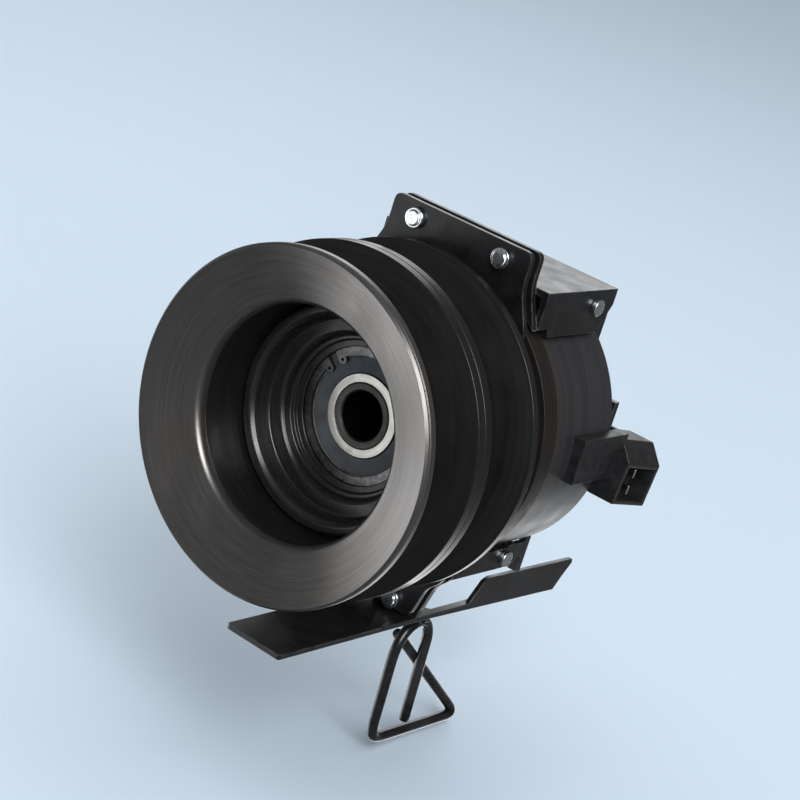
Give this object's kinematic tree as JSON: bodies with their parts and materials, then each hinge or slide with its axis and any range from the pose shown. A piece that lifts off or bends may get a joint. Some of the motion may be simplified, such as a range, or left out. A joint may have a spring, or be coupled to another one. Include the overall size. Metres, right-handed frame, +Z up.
{
  "type": "electromagnetic clutch",
  "caption": "Electromagnetic clutch for a mower blade drive: sheet steel pulley with belt grooves, field coil housing, brake plate, side connector, belt keeper and wire loop.",
  "frame": {"origin": "centre of the shaft bore at its engine end", "axes": "+Y along the shaft towards the engine, the pulley's dished face looks to -Y, +Z up towards the brake plate's upper ear, connector on +X"},
  "size_m": [0.159, 0.236, 0.2555],
  "materials": {
    "turned_satin": "satin black coat over turned steel, brown-grey sheen",
    "groove_black": "smooth glossy black coat",
    "hub_black": "semi-gloss black coat over pressed steps",
    "bearing_steel": "ground bearing steel",
    "cage_brass": "pressed cage",
    "seal_rubber": "moulded nitrile, bluish grey",
    "spring_steel": "hardened spring steel, light oil",
    "zinc_plate": "bright zinc plate",
    "magnet_iron": "machined soft iron, faint bronze tint",
    "sleeve_phosphate": "dark grey phosphate",
    "shell_paint": "satin dark grey coat",
    "bobbin_plastic": "moulded glass-filled nylon",
    "copper_wire": "enamelled copper wire",
    "potting_resin": "cast black epoxy",
    "bracket_ecoat": "satin black electro-coat",
    "friction_pad": "moulded friction compound",
    "wire_gunmetal": "gunmetal coat over drawn wire",
    "connector_plastic": "moulded black nylon",
    "terminal_brass": "tinned brass blades",
    "wire_insulation": "extruded insulation"
  },
  "bodies": {
    "field": {"field_shell": "shell_paint", "coil_bobbin": "bobbin_plastic", "coil_winding": "copper_wire", "coil_potting": "potting_resin", "field_bearing_outer_race": "bearing_steel", "field_bearing_seals": "seal_rubber", "field_bearing_snap_ring": "spring_steel", "rear_plate": "bracket_ecoat", "rear_plate_screws": "zinc_plate", "bracket_top": "bracket_ecoat", "bracket_bottom": "bracket_ecoat", "bracket_bolts": "zinc_plate", "bracket_nuts": "zinc_plate", "brake_plate": "bracket_ecoat", "brake_pads": "friction_pad", "brake_studs": "zinc_plate", "brake_springs": "spring_steel", "brake_nuts": "zinc_plate", "keeper_plate": "bracket_ecoat", "keeper_wire": "wire_gunmetal", "connector_arm": "connector_plastic", "connector_housing": "connector_plastic", "connector_terminals": "terminal_brass", "lead_wires": "wire_insulation"},
    "rotor": {"hub_sleeve": "sleeve_phosphate", "rotor_disc": "magnet_iron", "rotor_hub": "magnet_iron", "spacer_collar": "sleeve_phosphate", "pulley_bearing_inner_race": "bearing_steel", "field_bearing_inner_race": "bearing_steel", "sleeve_retaining_ring": "spring_steel"},
    "pulley": {"pulley_front_flange": "turned_satin", "pulley_mid_flange_front": "groove_black", "pulley_mid_flange_rear": "groove_black", "pulley_rear_flange": "groove_black", "pulley_drum": "groove_black", "pulley_hub": "hub_black", "pulley_bearing_outer_race": "sleeve_phosphate", "pulley_bearing_seals": "seal_rubber", "bearing_snap_ring": "spring_steel", "armature_leaf_springs": "spring_steel", "leaf_spring_rivets": "zinc_plate"},
    "armature": {"armature_plate": "magnet_iron", "armature_rivets": "zinc_plate"},
    "pulley_cage": {"pulley_bearing_balls": "bearing_steel", "pulley_bearing_cage": "cage_brass"},
    "field_cage": {"field_bearing_balls": "bearing_steel", "field_bearing_cage": "cage_brass"}
  },
  "joints": [
    {"name": "rotor_spin", "type": "hinge", "parent": "field", "child": "rotor", "pos_m": [0, 0, 0], "axis": [0, 1, 0], "continuous": true},
    {"name": "pulley_spin", "type": "hinge", "parent": "rotor", "child": "pulley", "pos_m": [0, -0.103, 0], "axis": [0, 1, 0], "continuous": true},
    {"name": "armature_engage", "type": "slide", "parent": "pulley", "child": "armature", "axis": [0, 1, 0], "range_m": [0, 0.0005], "stiffness_N_per_m": 2000, "springref_m": -0.001},
    {"name": "pulley_cage_spin", "type": "hinge", "parent": "rotor", "child": "pulley_cage", "pos_m": [0, -0.103, 0], "axis": [0, 1, 0], "continuous": true},
    {"name": "field_cage_spin", "type": "hinge", "parent": "field", "child": "field_cage", "pos_m": [0, -0.0185, 0], "axis": [0, 1, 0], "continuous": true}
  ],
  "couplings": [
    {"joint": "pulley_cage_spin", "follows": "pulley_spin", "ratio": 0.6043},
    {"joint": "field_cage_spin", "follows": "rotor_spin", "ratio": 0.4118}
  ]
}
